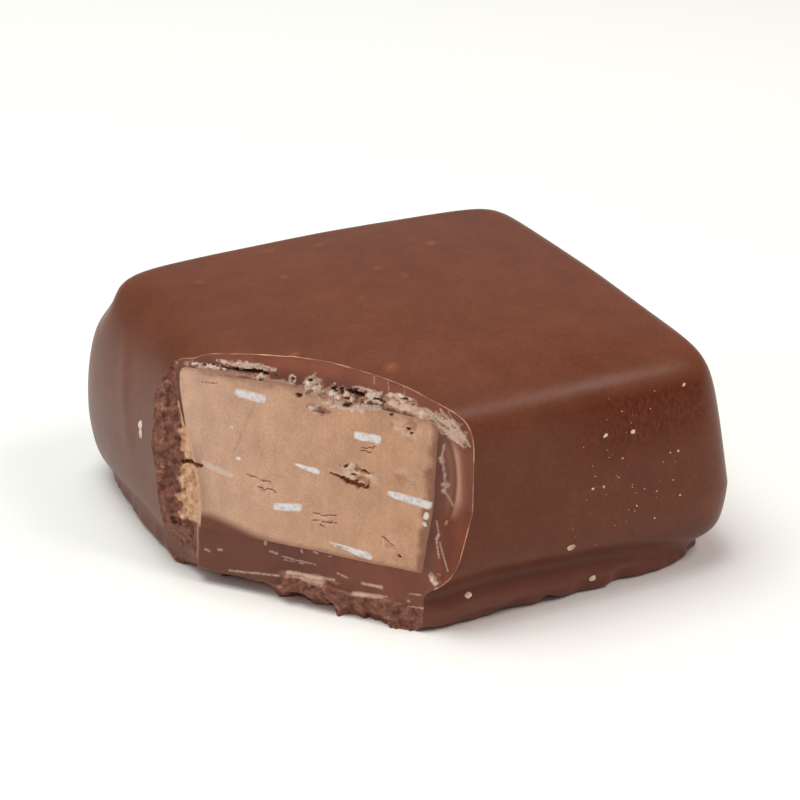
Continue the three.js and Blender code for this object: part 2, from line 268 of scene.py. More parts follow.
# Lower edge of the broken base: u, and how far it stands back there
LOWER_EDGE = [
    (-9.0, 1.5), (-7.4, 1.9), (-6.2, 1.4), (-5.7, 1.7), (-4.5, 1.8), (-4.1, 1.6), (-3.3, 1.5), (-2.2, 0.3),
    (-1.3, 1.0), (-0.1, 0.4), (1.0, 0.7), (1.8, -0.3), (2.3, 0.3), (3.1, 0.1), (3.6, 0.4), (5.0, -0.3),
    (5.6, -0.1), (7.5, -0.2),
]


def frayed_lines(count, seed):
    """Fibres of chocolate and nougat dragged down to the right across the upper right corner of the cut."""
    draw = np.random.default_rng(seed)
    ends = []
    for _ in range(count):
        sideways = draw.uniform(-1, 1)
        first = draw.uniform(-0.15, 0.75)
        for along in (first, first + draw.uniform(0.12, 0.35)):
            middle = np.array([6.9 + 1.75 * along, 12.75 - 1.55 * along])
            spread = (0.6 - 0.42 * along) * sideways * np.array([0.67, 0.74])
            ends.append(middle + spread + draw.normal(0, 0.05, 2))
    halves = draw.uniform(0.015, 0.042, count)
    return [(*start, *end, half) for start, end, half in zip(ends[::2], ends[1::2], halves)]


# Pale fibres are nougat, tawny ones chocolate that took up some of it
PALE_FIBRES = frayed_lines(60, 19)
TAWNY_FIBRES = frayed_lines(80, 23)


def cracked(u, v):
    """Share of the hair cracks, which run a little crooked."""
    return strongest_line(CRACKS, u, v + 0.12 * lumps(u, v, 0.4, 43), 1.0, 0.16)


def crumb_relief(u, v):
    """Lumpy field of a torn surface, from about -1 in its gaps to 1 on its crumbs."""
    bent_u = u + 0.13 * lumps(u, v, 0.35, 45)
    bent_v = v + 0.13 * lumps(u, v, 0.35, 47)
    return lumps(bent_u, 1.3 * bent_v, 0.36, 51, 4)


BREAK_AT_FOOT = -7.25
BREAK_LEAN = 2.0


def break_edge(v):
    """Where the clean cut ends and the broken left edge begins."""
    return BREAK_AT_FOOT - BREAK_LEAN * ramp(4.5, 13.2, v) + 0.08 * lumps(v, 0 * v, 1.3, 11)


def ledge_height(u):
    """Height up the cut of the ledge below which the base of the coat broke off."""
    return 1.4 + 0.5 * ramp(1.4, 0.3, u) + 0.1 * lumps(u, 0 * u, 0.9, 12)


def broken_blocks(u, v):
    """Relief of a dry break: rounded blocks and the crumbs between them."""
    bent_u = u + 0.3 * lumps(u, v, 0.9, 53)
    bent_v = v + 0.3 * lumps(u, v, 0.9, 55)
    return 0.28 * lumps(bent_u, bent_v, 0.9, 54, 4)


# Long hollow in the coat at the right of the cut
HOLLOW_MIDDLE = (7.9, 9.3)
HOLLOW_HALVES = (0.6, 2.5)
HOLLOW_LEAN = 0.08
HOLLOW_DEPTH = 0.34


def from_hollow(u, v):
    """Distance across from the middle of the hollow."""
    return u - HOLLOW_MIDDLE[0] + HOLLOW_LEAN * (v - HOLLOW_MIDDLE[1])


def hollow_share(v):
    """How deep the hollow is along its height: 1 in its middle, 0 at its ends."""
    return np.clip(1 - ((v - HOLLOW_MIDDLE[1]) / HOLLOW_HALVES[1]) ** 2, 0, 1)


def knife_path(u, v):
    """Depth of the clean cut into the body: the knife wandered near the top and twisted to the right."""
    wander = LEFT_TURN_IN * ramp(-7.8, -9.4, u)
    for middle, width, depth in WANDER:
        wander = wander + depth * np.exp(-(((u - middle) / width) ** 2))
    twist = TWIST * (np.minimum(v, TWIST_TOP) - TWIST_MIDDLE) * ramp(6, 9, u)
    return wander * ramp(6, 14, v) + twist


def cut_depth(u, v):
    """Depth of the cut face into the body, with all that broke and tore."""
    into_break = break_edge(v) - u
    slope = 0.06 + 0.54 * ramp(3.6, 1.4, v)
    blocks = broken_blocks(u, v) * ramp(0.9, 2.2, v) * ramp(13.3, 12.3, v) * ramp(0.1, 0.6, into_break)
    rim = -0.14 * strongest(RIM_LUMPS, u, v, 0.9, 0.35)
    step = 0.24 * ramp(13.4, 12.2, v)
    broken = ramp(0, 0.4, into_break) * (step + slope * np.maximum(into_break, 0) + blocks) + rim
    hole = 0.3 * strongest([(-9.0, 3.35, 0.55, 0.22, -8)], u, v, 0.5, 0.4)

    on_ledge = ramp(0.1, -0.1, v - ledge_height(u)) * ramp(-2.6, -1.6, u) * ramp(7.4, 6.9, u)
    ledge = on_ledge * (-0.22 + 0.8 * broken_blocks(1.6 * u, 1.3 * v))

    across_hollow = np.clip(1 - (from_hollow(u, v) / HOLLOW_HALVES[0]) ** 2, 0, 1)
    hollow = HOLLOW_DEPTH * across_hollow * hollow_share(v)

    torn = strongest(TORN + ROUGHENED, u, v, weighted=True) * (0.2 - crumb_relief(u, v))
    slits = strongest(SLITS, u, v, *SLIT_RAGGEDNESS, weighted=True)
    cracks = 0.1 * cracked(u, v)
    fibres = -0.10 * strongest_line(PALE_FIBRES + TAWNY_FIBRES[:40], u, v, 0.3)

    upper = knife_path(u, v) + broken + hole + ledge + hollow + torn + slits + cracks + fibres
    lower = np.interp(u, *np.transpose(LOWER_EDGE)) + 0.2 * lumps(u, 0.5 * v, 0.45, 63)
    return upper + (lower - upper) * ramp(1.05, 0.1, v)


CUTTER_REACH = 25.0


def on_cut(u, v, out):
    """Points at places on the cut's plane, moved out of the body by some distance."""
    return CUT_ORIGIN + np.multiply.outer(u, RIGHT) + np.multiply.outer(v, UP) + np.multiply.outer(out, OUT)


def cut_away(name, step, u_range, v_range):
    """Block in front of the cut face, to take away from a body."""
    across = np.arange(u_range[0], u_range[1] + step, step)
    up = np.arange(v_range[0], v_range[1] + step, step)
    u, v = np.meshgrid(across, up)
    near = on_cut(u, v, -cut_depth(u, v)).reshape(-1, 3)
    edge_u = [u_range[0], across[-1], across[-1], u_range[0]]
    edge_v = [v_range[0], v_range[0], up[-1], up[-1]]
    far = on_cut(edge_u, edge_v, [CUTTER_REACH] * 4)
    index = np.arange(u.size).reshape(u.shape)
    corners = [index[:-1, :-1], index[1:, :-1], index[1:, 1:], index[:-1, 1:]]
    faces = np.stack([c.ravel() for c in corners], axis=1).tolist()
    far_first = u.size
    faces.append([far_first, far_first + 1, far_first + 2, far_first + 3])
    sides = [index[0, :], index[:, -1], index[-1, ::-1], index[::-1, 0]]
    for side, border in enumerate(sides):
        faces.append(border.tolist() + [far_first + (side + 1) % 4, far_first + side])
    return mesh_object(name, np.concatenate([near, far]), faces)


def take_away(body, tool):
    """Cuts the tool's shape out of the body."""
    cut = body.modifiers.new("cut", "BOOLEAN")
    cut.operation = "DIFFERENCE"
    cut.solver = "MANIFOLD"
    cut.material_mode = "TRANSFER"
    cut.object = tool
    graph = bpy.context.evaluated_depsgraph_get()
    result = bpy.data.meshes.new_from_object(body.evaluated_get(graph))
    body.modifiers.remove(cut)
    body.data = result


def vertex_places(mesh):
    """Places of a mesh's vertices in millimetres."""
    points = np.empty(len(mesh.vertices) * 3, np.float32)
    mesh.vertices.foreach_get("co", points)
    return points.reshape(-1, 3) / MM


def cut_places(mesh):
    """Where each vertex of a mesh lies on the cut: u and v."""
    offset = vertex_places(mesh) - CUT_ORIGIN
    return offset @ RIGHT, offset @ UP


def paint(mesh, name, values):
    """Stores a number between 0 and 1 for each vertex, for the material to read."""
    layer = mesh.attributes.new(name, "FLOAT", "POINT")
    layer.data.foreach_set("value", np.clip(values, 0, 1).astype(np.float32))


def smooth_but_for(mesh, is_edge):
    """Smooth shading, with a hard line wherever two neighbouring faces differ in kind."""
    form = bmesh.new()
    form.from_mesh(mesh)
    for face in form.faces:
        face.smooth = True
    for line in form.edges:
        if len(line.link_faces) == 2 and is_edge(*line.link_faces):
            line.smooth = False
    form.to_mesh(mesh)
    form.free()


# Chocolate rubbed or crumbled over the nougat: u, v, half length, half height, turn
COCOA_SPOTS = [
    (0.5, 12.75, 0.85, 0.22, -4), (-0.4, 11.7, 0.6, 0.22, -8), (5.1, 12.72, 1.3, 0.05, -5),
    (-5.6, 12.8, 1.6, 0.09, 3), (-2.75, 12.95, 0.8, 0.1, -3),
]
# Paler crumbs torn out of the nougat: u, v, half length, half height, turn
PALE_SPOTS = [
    (-4.65, 13.58, 1.38, 0.18, -1), (-3.9, 13.09, 0.3, 0.17, 0), (-7.2, 13.16, 1.1, 0.13, 6),
    (-2.07, 13.17, 0.2, 0.26, 0), (-0.75, 13.05, 0.42, 0.45, -20), (2.3, 13.42, 0.85, 0.1, 0),
    (2.95, 13.05, 0.4, 0.2, -8), (2.6, 12.4, 1.15, 0.16, 8), (6.45, 12.85, 0.7, 0.26, -20),
    (5.2, 12.98, 1.15, 0.13, -4),
]
# Pale hairs across the top coat and down the right edge of the nougat: from u, v, to u, v, half width
PALE_HAIRS = [
    (-5.32, 13.1, -5.31, 12.46, 0.022), (-3.44, 13.02, -2.06, 12.92, 0.022),
    (2.9, 14.23, 2.94, 13.8, 0.025), (3.77, 14.1, 3.84, 13.62, 0.025), (4.74, 14.14, 4.8, 13.07, 0.03),
    (6.43, 11.82, 6.66, 10.59, 0.045),
]
BURIED_FLAKE = [(-7.2, 7.35, -5.5, 6.94, 0.17)]


def pale_crumb(u, v):
    """How much pale nougat crumb lies on the cut, with a painted highlight on the lips beside the cracks and
    the first slits.
    """
    spots = strongest(PALE_SPOTS, u, v, 0.5, 0.25)
    fibres = strongest_line(PALE_FIBRES, u, v, 0.3)
    buried_flake = strongest_line(BURIED_FLAKE, u, v, 0.4)
    hairs = 0.7 * strongest_line(PALE_HAIRS, u, v, 0.6)
    # Painted highlight on the lips just below the cracks and above the first slits, which makes them look
    # raised
    lips = 0.4 * np.maximum(cracked(u, v + 0.08), strongest(SLITS[:5], u, v - 0.14, 0.3, 0.25))
    return np.maximum.reduce([spots, fibres, buried_flake, hairs, lips])


def cocoa_film(u, v):
    """Chocolate that the blade carried over the edges of the nougat."""
    clean = ramp(-0.05, 0.05, u - break_edge(v))
    left_edge = 0.35 * clean * ramp(1.0, 0.0, u - break_edge(v)) * ramp(11, 7, v)
    lower_left = clean * ramp(0.5, -0.3, v - 3.45 - 0.85 * ramp(-2.5, -7.3, u)) * ramp(0.5, -2.5, u)
    knife_mark = 0.14 * strongest_line([(-4.06, 11.8, -5.27, 8.5, 0.08)], u, v, 0.2)
    right_edge = 0.7 * ramp(6.2, 6.65, u + 0.06 * (9 - v) + 0.2 * lumps(u, v, 0.6, 61))
    ragged = 0.1 * lumps(u, v, 0.5, 65)
    below_top = 12.85 - SLAB_SAG * ramp(-5, 3, u) - v
    upper_edge = (0.42 - 0.2 * ramp(1, 4, u)) * ramp(0.5, 0.0, below_top + 1.6 * ragged)
    lower_edge = 0.5 * ramp(0.3, 0.0, v - 3.45 + ragged)
    rubbed = 0.55 * strongest(COCOA_SPOTS, u, v, 0.7, 0.25)
    return np.maximum.reduce([left_edge, lower_left, knife_mark, right_edge, upper_edge, lower_edge, rubbed])


def linear(code):
    """Linear colour of an sRGB hex value."""
    parts = [int(code[i : i + 2], 16) / 255 for i in (1, 3, 5)]
    return [c / 12.92 if c <= 0.04045 else ((c + 0.055) / 1.055) ** 2.4 for c in parts] + [1.0]


def feed(tree, node, inputs):
    """Sets inputs of a node, each to a value or to the socket that feeds it."""
    for key, value in inputs.items():
        if isinstance(value, bpy.types.NodeSocket):
            tree.links.new(value, node.inputs[key])
        else:
            node.inputs[key].default_value = value


def add(tree, kind, inputs=None, output=0, **settings):
    """Adds a node with its inputs and settings, and hands back its first output or the one asked for."""
    made = tree.nodes.new(kind)
    for name, value in settings.items():
        setattr(made, name, value)
    feed(tree, made, inputs or {})
    return made.outputs[output]


def axes(tree, places):
    """X, Y and Z of places, by name."""
    made = tree.nodes.new("ShaderNodeSeparateXYZ")
    feed(tree, made, {"Vector": places})
    return made.outputs


def new_material(name):
    """New material, its tree, its Principled shader, and the places on the object for its patterns."""
    material = bpy.data.materials.new(name)
    material.use_nodes = True
    tree = material.node_tree
    places = add(tree, "ShaderNodeTexCoord", output="Object")
    return material, tree, tree.nodes["Principled BSDF"], places


def per_metre(size_mm):
    """Scale of a pattern whose features are this many millimetres across."""
    return 1 / (size_mm * MM)


def noise(tree, places, size_mm, detail=3.0, roughness=0.5):
    """Cloudy pattern around a half, with features of this size."""
    inputs = {"Vector": places, "Scale": per_metre(size_mm), "Detail": detail, "Roughness": roughness}
    return add(tree, "ShaderNodeTexNoise", inputs)


def remapped(tree, value, low, high, to_low=0.0, to_high=1.0):
    """Value moved smoothly from one range to another."""
    inputs = {"Value": value, "From Min": low, "From Max": high, "To Min": to_low, "To Max": to_high}
    return add(tree, "ShaderNodeMapRange", inputs, interpolation_type="SMOOTHSTEP")


def mixed(tree, amount, base, other, blend="MIX"):
    """Colour that goes from a base to another colour by an amount."""
    inputs = {0: amount, 6: base, 7: other}
    return add(tree, "ShaderNodeMix", inputs, 2, data_type="RGBA", blend_type=blend)


def tinted(tree, amount, stops):
    """Colour along stops of position and hex colour."""
    made = tree.nodes.new("ShaderNodeValToRGB")
    feed(tree, made, {"Fac": amount})
    elements = made.color_ramp.elements
    for number, (position, code) in enumerate(stops):
        stop = elements[number] if number < 2 else elements.new(position)
        stop.position = position
        stop.color = linear(code)
    return made.outputs["Color"]


def painted(tree, name):
    """Number painted on the mesh under a name."""
    return add(tree, "ShaderNodeAttribute", output="Fac", attribute_name=name)


def product(tree, first, second):
    """Two numbers multiplied."""
    return add(tree, "ShaderNodeMath", {0: first, 1: second}, operation="MULTIPLY")


def mottled(tree, colour, pattern, share, spread=0.2):
    """Colour made darker and lighter by a share, where a pattern lies below and above a half."""
    lightness = remapped(tree, pattern, 0.5 - spread, 0.5 + spread, 1 - share, 1 + share)
    return mixed(tree, 1.0, colour, lightness, "MULTIPLY")


def stained(tree, colour, stains):
    """Colour under stains: the name each is painted under on the mesh, its strength and its colour."""
    for name, strength, stain in stains:
        colour = mixed(tree, product(tree, painted(tree, name), strength), colour, stain)
    return colour


def bumped(tree, height, strength, depth_mm, below=None):
    """Normal of a fine relief, on another relief if there is one below."""
    inputs = {"Height": height, "Strength": strength, "Distance": depth_mm * MM}
    if below:
        inputs["Normal"] = below
    return add(tree, "ShaderNodeBump", inputs)


# Torn crumbs, from their gaps to their tops: painted shade in the gaps, the crumbs' own tints between, and a
# painted highlight on the tops
TORN_SHADE_AND_TINTS = [(0.08, "#452519"), (0.95, "#f2dccd"), (0.24, "#8a5743"), (0.42, "#be8f77"), (0.68, "#e0bca6")]

# Chocolate nougat, knife-cut: fine sugar grain, matt and a little waxy, browner where chocolate was rubbed on
nougat, tree, shader, places = new_material("chocolate nougat, knife-cut")
dragged = add(tree, "ShaderNodeMapping", {"Vector": places, "Scale": (1.0, 1.0, 0.3)})
grain = noise(tree, places, 0.13, 3.0, 0.7)
crumble = noise(tree, places, 0.4, 4.0, 0.65)
parts = axes(tree, places)
colour = tinted(tree, remapped(tree, parts["X"], -15 * MM, -5 * MM), [(0.0, "#d8ad92"), (1.0, "#d1a080")])
colour = mottled(tree, colour, noise(tree, places, 1.3), 0.07)
colour = mottled(tree, colour, grain, 0.12, 0.25)
colour = mottled(tree, colour, noise(tree, dragged, 0.9), 0.05)
specks = add(tree, "ShaderNodeTexVoronoi", {"Vector": places, "Scale": per_metre(0.6), "Randomness": 1.0})
dots = remapped(tree, specks, 0.04, 0.13, 0.30, 0.0)
colour = mixed(tree, dots, colour, linear("#94694f"))
colour = stained(tree, colour, [
    ("broken", 1.0, tinted(tree, crumble, [(0.34, "#c38a66"), (0.60, "#eec29c")])),
    ("flaky", 0.65, linear("#efd2bf")),
    # Torn crumbs, with painted shade in their gaps and a painted highlight on their tops
    ("torn", 1.0, tinted(tree, painted(tree, "crumb"), TORN_SHADE_AND_TINTS)),
    ("pale", 0.55, linear("#ead7ca")),
    ("cocoa", 1.0, linear("#733f2d")),
    # Painted shade in the slits, the cracks and the gaps between flakes
    ("gap_shade", 1.0, linear("#9c5c35")),
])
rough_break = bumped(tree, product(tree, crumble, painted(tree, "broken")), 0.8, 0.3)
feed(tree, shader, {
    "Base Color": colour,
    "Normal": bumped(tree, grain, 0.4, 0.07, rough_break),
    "Roughness": 0.62,
    "IOR": 1.45,
})

HARD_EDGE = math.radians(60)
slab = ring_stack("nougat_slab", slab_rings())
slab_cutter = cut_away("slab_cutter", SLAB_GRID, (-11.5, 9.0), (2.4, 13.8))
slab.data.materials.append(nougat)
slab_cutter.data.materials.append(nougat)
take_away(slab, slab_cutter)
bpy.data.objects.remove(slab_cutter)
smooth_but_for(slab.data, lambda a, b: a.normal.angle(b.normal) > HARD_EDGE)

# Relief from which a roughened spot is flaky all over
FULL_FLAKE = 0.08


def paint_cut(mesh, u, v):
    """Masks that every cut surface shares: what tore, how pale and how high its crumbs are, painted shade
    where it lies deep, what broke.
    """
    relief = crumb_relief(u, v)
    deep = np.maximum(strongest(SLITS, u, v, *SLIT_RAGGEDNESS), 0.45 * cracked(u, v))
    flakes = [(*spot[:5], min(spot[5] / FULL_FLAKE, 1)) for spot in ROUGHENED]
    flaky = strongest(flakes, u, v, weighted=True)
    paint(mesh, "torn", strongest(TORN, u, v, 0.5))
    # How high the torn crumbs stand, with some random change: it sets the painted shade in their gaps and the
    # painted highlight on their tops
    paint(mesh, "crumb", 0.64 + 0.6 * relief + 0.2 * lumps(u, v, 1.1, 49))
    paint(mesh, "flaky", flaky * (0.5 + 0.8 * relief))
    # Painted shade in the slits and cracks and in the gaps between flakes
    paint(mesh, "gap_shade", np.maximum(deep, 0.75 * flaky * ramp(-0.15, -0.5, relief)))
    paint(mesh, "broken", ramp(0.0, 0.3, break_edge(v) - u) * ramp(2.2, 3.2, v))


slab_u, slab_v = cut_places(slab.data)
paint_cut(slab.data, slab_u, slab_v)
paint(slab.data, "pale", pale_crumb(slab_u, slab_v))
paint(slab.data, "cocoa", cocoa_film(slab_u, slab_v))
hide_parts("nougat_filling")
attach(slab, "root")


# White slivers
#
# Thin flakes of coconut stirred into the nougat before it set. The knife went through them, so each one shows
# as a flat, slightly translucent strip level with the cut.

# u, v, length, thickness, turn, share of the thickness left at the first end, squareness of the ends
SLIVERS = [
    (-4.48, 11.84, 1.9, 0.52, -6, 0.95, 0.35), (2.75, 10.7, 1.67, 0.5, 2, 0.95, 0.3),
    (-0.74, 8.23, 1.63, 0.44, -9, 0.3, 0.6), (-1.86, 5.73, 1.83, 0.48, 9, 0.9, 0.35),
    (5.47, 7.63, 2.62, 0.52, -6, 0.75, 0.4), (2.11, 3.98, 2.76, 0.54, -8, 0.15, 0.5),
    (6.51, 6.84, 0.42, 0.36, 80, 0.9, 0.9), (6.48, 6.36, 0.26, 0.24, 80, 0.9, 0.9),
    (-5.53, 9.83, 0.28, 0.14, 0, 0.9, 0.9), (-5.03, 8.04, 0.32, 0.26, 0, 0.9, 0.9),
]
# Share of the outline and height above the cut of each ring of a sliver, and how clear the flake is there
SLIVER_RINGS = [
    (0.7, -0.35, 0.0), (1.12, -0.1, 0.0), (1.1, 0.002, 0.05), (0.88, 0.008, 0.5), (0.64, 0.014, 0.9),
    (0.3, 0.018, 1.0),
]
SLIVER_POINTS = 72
SLIVER_RAGGEDNESS = 0.06


def sliver_rings(place, number):
    """Rings of one flake's solid, from inside the nougat up to its face on the cut."""
    u, v, length, thickness, turn, taper, squareness = place
    around = np.arange(SLIVER_POINTS) * 2 * math.pi / SLIVER_POINTS
    along = 0.5 * length * np.sign(np.cos(around)) * np.abs(np.cos(around)) ** squareness
    end_share = taper + (1 - taper) * (along / length + 0.5)
    across = 0.5 * thickness * end_share * np.sign(np.sin(around)) * np.abs(np.sin(around)) ** squareness
    cos, sin = math.cos(math.radians(turn)), math.sin(math.radians(turn))
    ragged = SLIVER_RAGGEDNESS * min(thickness / 0.4, 1)
    rings = []
    for share, height, _ in SLIVER_RINGS:
        a = along * (1 - (1 - share) * thickness / length)
        b = across * share
        a = a + ragged * lumps(a, b, 0.25, 200 + number)
        b = b + ragged * lumps(a, b, 0.25, 300 + number)
        ring_u = u + a * cos - b * sin
        ring_v = v + a * sin + b * cos
        rings.append(on_cut(ring_u, ring_v, height - knife_path(ring_u, ring_v)))
    return rings


def sliver(place, number):
    """One flake, paler towards its middle than at its thin edge."""
    made = ring_stack("sliver", sliver_rings(place, number))
    clear = np.repeat([ring[2] for ring in SLIVER_RINGS], SLIVER_POINTS)
    paint(made.data, "clear", np.concatenate([clear, [0.0, 1.0]]))
    return made


def joined(name, pieces):
    """One mesh object from several, which are removed."""
    form = bmesh.new()
    for piece in pieces:
        form.from_mesh(piece.data)
        bpy.data.objects.remove(piece)
    bmesh.ops.recalc_face_normals(form, faces=form.faces)
    for face in form.faces:
        face.smooth = True
    mesh = bpy.data.meshes.new(name)
    form.to_mesh(mesh)
    form.free()
    return placed(name, mesh)


slivers = joined("coconut_slivers", [sliver(place, number) for number, place in enumerate(SLIVERS)])

# Coconut flesh, dried and sliced: milky white, faintly mottled, with a soft waxy shine
coconut, tree, shader, places = new_material("coconut flesh, dried and sliced")
fibre = noise(tree, places, 0.3)
milky = tinted(tree, fibre, [(0.3, "#d8cbc8"), (0.52, "#f4eff0")])
feed(tree, shader, {
    "Base Color": mixed(tree, painted(tree, "clear"), linear("#d2a88c"), milky),
    "Normal": bumped(tree, fibre, 0.3, 0.05),
    "Roughness": 0.45,
    "IOR": 1.45,
})
slivers.data.materials.append(coconut)
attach(slivers, "root")


# Milk chocolate coat
#
# Tempered milk chocolate poured over the slab on an enrober and set on a tray. It is thick under the slab,
# has a crisp shoulder in front and soft ones elsewhere, and ran down into a low foot with a crease above it.
# The knife left a smooth section on the right and below, and on the left the coat broke away roughly.

SIDE_TOP = 13.44
DOME = 1.41
BELLY_HEIGHT = 4.65
SHOULDER_FLATNESS = 2.65
SHOULDER_SQUARENESS = 3.4
TOP_SOFTENING = 0.6
INNERMOST = 14.2
UNDERCUT = 0.72
UNDERCUT_POWER = 1.8
WAVE = 0.06
CREASE_HEIGHT = 2.45
CREASE_AT_CORNER = 0.7
CREASE_DEPTH = 0.76
CREASE_WIDTH = 0.92
LIP_HEIGHT = 0.4
LIP_ROUNDING = 0.3
BOX_ALLOWANCE = 0.03
COAT_SEGMENTS = 420
COAT_GRID = 0.06

# Sides in the order front, right, back, left: lean over the height, reach of the shoulder, how late it turns
SIDES = [(1.09, 6.0, 12.6), (1.44, 2.5, 4.8), (0.3, 3.6, 2.0), (0.06, 4.16, 2.06)]

# Small bumps of trapped air on the top: x, y, radius, height
AIR_BUMPS = [
    (5.0, 5.5, 0.42, 0.1), (-4.74, -8.76, 0.45, 0.12), (-1.1, 8.6, 0.4, 0.06), (-4.1, 9.5, 0.4, 0.05),
    (-5.2, 4.7, 0.3, 0.06), (-9.6, 7.1, 0.4, 0.05), (0.05, 2.93, 0.35, 0.06), (1.0, 1.1, 0.3, 0.05),
    (-8.84, -4.91, 0.3, 0.08), (-2.7, -0.7, 0.16, 0.06), (-3.0, -1.8, 0.16, 0.06),
]


def foot_strength(angle):
    """How strongly the foot stands out: most in front, least behind."""
    return 0.7 - 0.3 * np.sin(angle) + 0.1 * np.cos(angle)


# Nicks in the foot along the front: x, half width, how far in, height that they reach
FOOT_NICKS = [(-5.2, 1.7, 0.5, 3.4), (0.2, 2.4, 0.3, 1.2), (7.6, 1.0, 0.4, 1.2)]


def nicked(z, angle):
    """How far the foot stands in where it is nicked."""
    x = 0.5 * WIDTH * np.cos(angle) / np.maximum(-np.sin(angle), 0.4)
    nick = 0
    for middle, half, inset, top in FOOT_NICKS:
        nick = nick + inset * np.exp(-(((x - middle) / half) ** 2)) * ramp(top, 0.5 * top, z)
    return nick * (np.sin(angle) < -0.4)


def side_inset(z, angle):
    """How far the lower side, up to the belly, stands in from the widest outline."""
    wave = WAVE * np.sin(3 * angle + 0.4 * z) * np.sin(5 * angle + 1.3)
    drop = np.maximum(BELLY_HEIGHT - z, 0) / BELLY_HEIGHT
    corner = np.sin(2 * angle) ** 6
    along_side = CREASE_HEIGHT * foot_strength(angle) + 0.2 * np.sin(7 * angle + 1)
    crease_at = along_side + (CREASE_AT_CORNER - along_side) * corner
    crease = CREASE_DEPTH * foot_strength(angle) * np.exp(-(((z - crease_at) / CREASE_WIDTH) ** 2))
    lip = LIP_ROUNDING * np.maximum(1 - z / LIP_HEIGHT, 0) ** 2
    run = 0.2 * lumps(angle * 15, 0.6 * z, 1.5, 81) * ramp(2.0, 0.4, z)
    return UNDERCUT * drop**UNDERCUT_POWER + crease + lip + wave + run + nicked(z, angle) + BOX_ALLOWANCE


def shoulder_inset(rise, angle):
    """How far the side has come in at a share of the way up from the belly to the top."""
    along_x, along_y = np.cos(angle) ** 4, np.sin(angle) ** 4
    shares = [
        along_y * (np.sin(angle) < 0),
        along_x * (np.cos(angle) >= 0),
        along_y * (np.sin(angle) >= 0),
        along_x * (np.cos(angle) < 0),
    ]
    inset = 0
    for share, (lean, reach, lateness) in zip(shares, SIDES):
        turned = 1 - max(1 - rise**lateness, 0) ** (1 / SHOULDER_FLATNESS)
        inset = inset + share / (along_x + along_y) * (lean * rise + reach * turned)
    return inset


DENT = (-13.8, 12.2, 11.5)
DENT_DEPTH = 0.30
DENT_RADIUS = 1.1
RIDGE_HEIGHT = 0.05
RIDGE_WIDTH = 0.75


def handling_marks(x, y, z):
    """Dent in the back left shoulder and a soft upright ridge on the left face."""
    distance = (x - DENT[0]) ** 2 + (y - DENT[1]) ** 2 + (z - DENT[2]) ** 2
    dent = DENT_DEPTH * np.exp(-distance / DENT_RADIUS**2)
    ridge = np.exp(-(((y - 5.6 - 0.46 * (z - 8.2)) / RIDGE_WIDTH) ** 2)) * (x < 0)
    return dent - RIDGE_HEIGHT * ridge * ramp(12, 10, z) * ramp(4.7, 6.5, z)


def dome_rise(x, y):
    """How far the top is domed."""
    return DOME * (1 - (x / (LENGTH / 2)) ** 2) * (1 - (y / (WIDTH / 2)) ** 2)


def air_bumps(x, y, width=1.0):
    """Height of the air bumps, each with a share of its width."""
    height = 0
    for bump_x, bump_y, radius, rise in AIR_BUMPS:
        height = height + rise * np.exp(-((x - bump_x) ** 2 + (y - bump_y) ** 2) / (width * radius) ** 2)
    return height


def top_relief(x, y):
    """Slow unevenness of the poured top, and the air bumps on it."""
    return 0.02 * lumps(x, y, 5.0, 91, 2) - 0.05 + air_bumps(x, y)


def bump_tints_and_highlights(mesh):
    """Where the air bumps on the top are painted paler and warmer: partly a warm tint of their own, partly a
    painted highlight on them.
    """
    x, y, z = vertex_places(mesh).T
    return 5 * air_bumps(x, y, 0.7) * (z > SIDE_TOP - 1)


def coat_rings():
    """Rings of the whole coat's solid: flat underside, foot and side, shoulder, domed top."""
    angle = directions(COAT_SEGMENTS)
    rings = []
    for inset in (6.0, 3.0, 1.6):
        x, y = outline(side_inset(0.0, angle) + inset, angle)
        rings.append(np.stack([x, y, 0 * x], axis=1))
    raised = 0.5 * np.clip(lumps(angle * 15, 0 * angle, 1.0, 85) - 0.05, 0, 1)
    for z in np.concatenate([np.linspace(0, 0.5, 8), np.linspace(0.6, BELLY_HEIGHT, 36)]):
        x, y = outline(side_inset(z + 0 * angle, angle), angle)
        lift = raised * max(1 - z / 0.9, 0) ** 2
        rings.append(np.stack([x, y, z + lift], axis=1))
    for rise in 1 - np.linspace(1, 0, 49)[1:] ** 2.6:
        z = BELLY_HEIGHT + (SIDE_TOP - BELLY_HEIGHT) * rise
        power = OUTLINE_POWER + SHOULDER_SQUARENESS * rise**5
        full = side_inset(z + 0 * angle, angle) + shoulder_inset(rise, angle)
        x, y = outline(full, angle, power)
        x, y = outline(full + handling_marks(x, y, z), angle, power)
        height = z + dome_rise(x, y) * rise + top_relief(x, y) * rise**8
        rings.append(np.stack([x, y, height], axis=1))
    for inward in np.linspace(0, 1, 40)[1:]:
        power = (OUTLINE_POWER + SHOULDER_SQUARENESS) * (1 - TOP_SOFTENING * inward)
        x, y = outline(full + (INNERMOST - full) * inward, angle, power)
        rings.append(np.stack([x, y, SIDE_TOP + dome_rise(x, y) + top_relief(x, y)], axis=1))
    return rings


